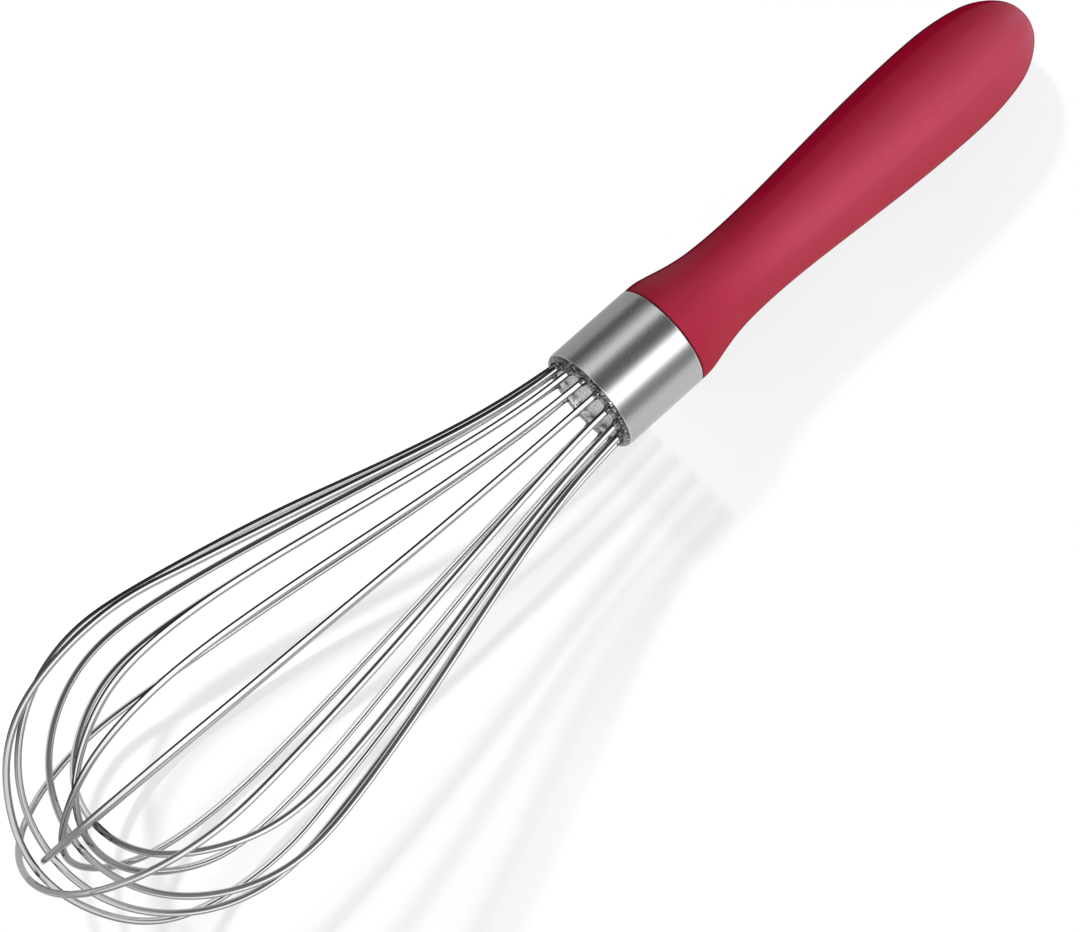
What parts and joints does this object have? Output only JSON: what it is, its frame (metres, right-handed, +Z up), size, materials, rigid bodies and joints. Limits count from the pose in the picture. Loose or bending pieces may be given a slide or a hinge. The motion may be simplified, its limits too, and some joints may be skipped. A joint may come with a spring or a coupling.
{
  "type": "balloon whisk",
  "caption": "Hand balloon whisk: nested steel wire loops fixed in a brushed ferrule, with a contoured soft red grip.",
  "frame": {"origin": "middle of the footprint (bounding box bottom centre), on the table the whisk lies on", "axes": "+X from the wires to the grip end, +Z up; the whisk is in its attitude at rest, touching the table with two wires and the belly of the grip, so its own axis rises 4.9 degrees towards the wires"},
  "size_m": [0.2838, 0.0656, 0.0634],
  "materials": {
    "grip": "matte",
    "core": "matte",
    "ferrule": "brushed",
    "cap": "polished",
    "anchor": "matte",
    "wire": "polished"
  },
  "bodies": {
    "root": {"handle_grip": "grip", "handle_core": "core", "ferrule": "ferrule", "end_cap": "cap", "wire_anchor": "anchor", "wire_loop_1": "wire", "wire_loop_2": "wire", "wire_loop_3": "wire", "wire_loop_4": "wire", "wire_loop_5": "wire", "wire_loop_6": "wire", "wire_loop_7": "wire", "wire_loop_8": "wire"}
  },
  "joints": []
}
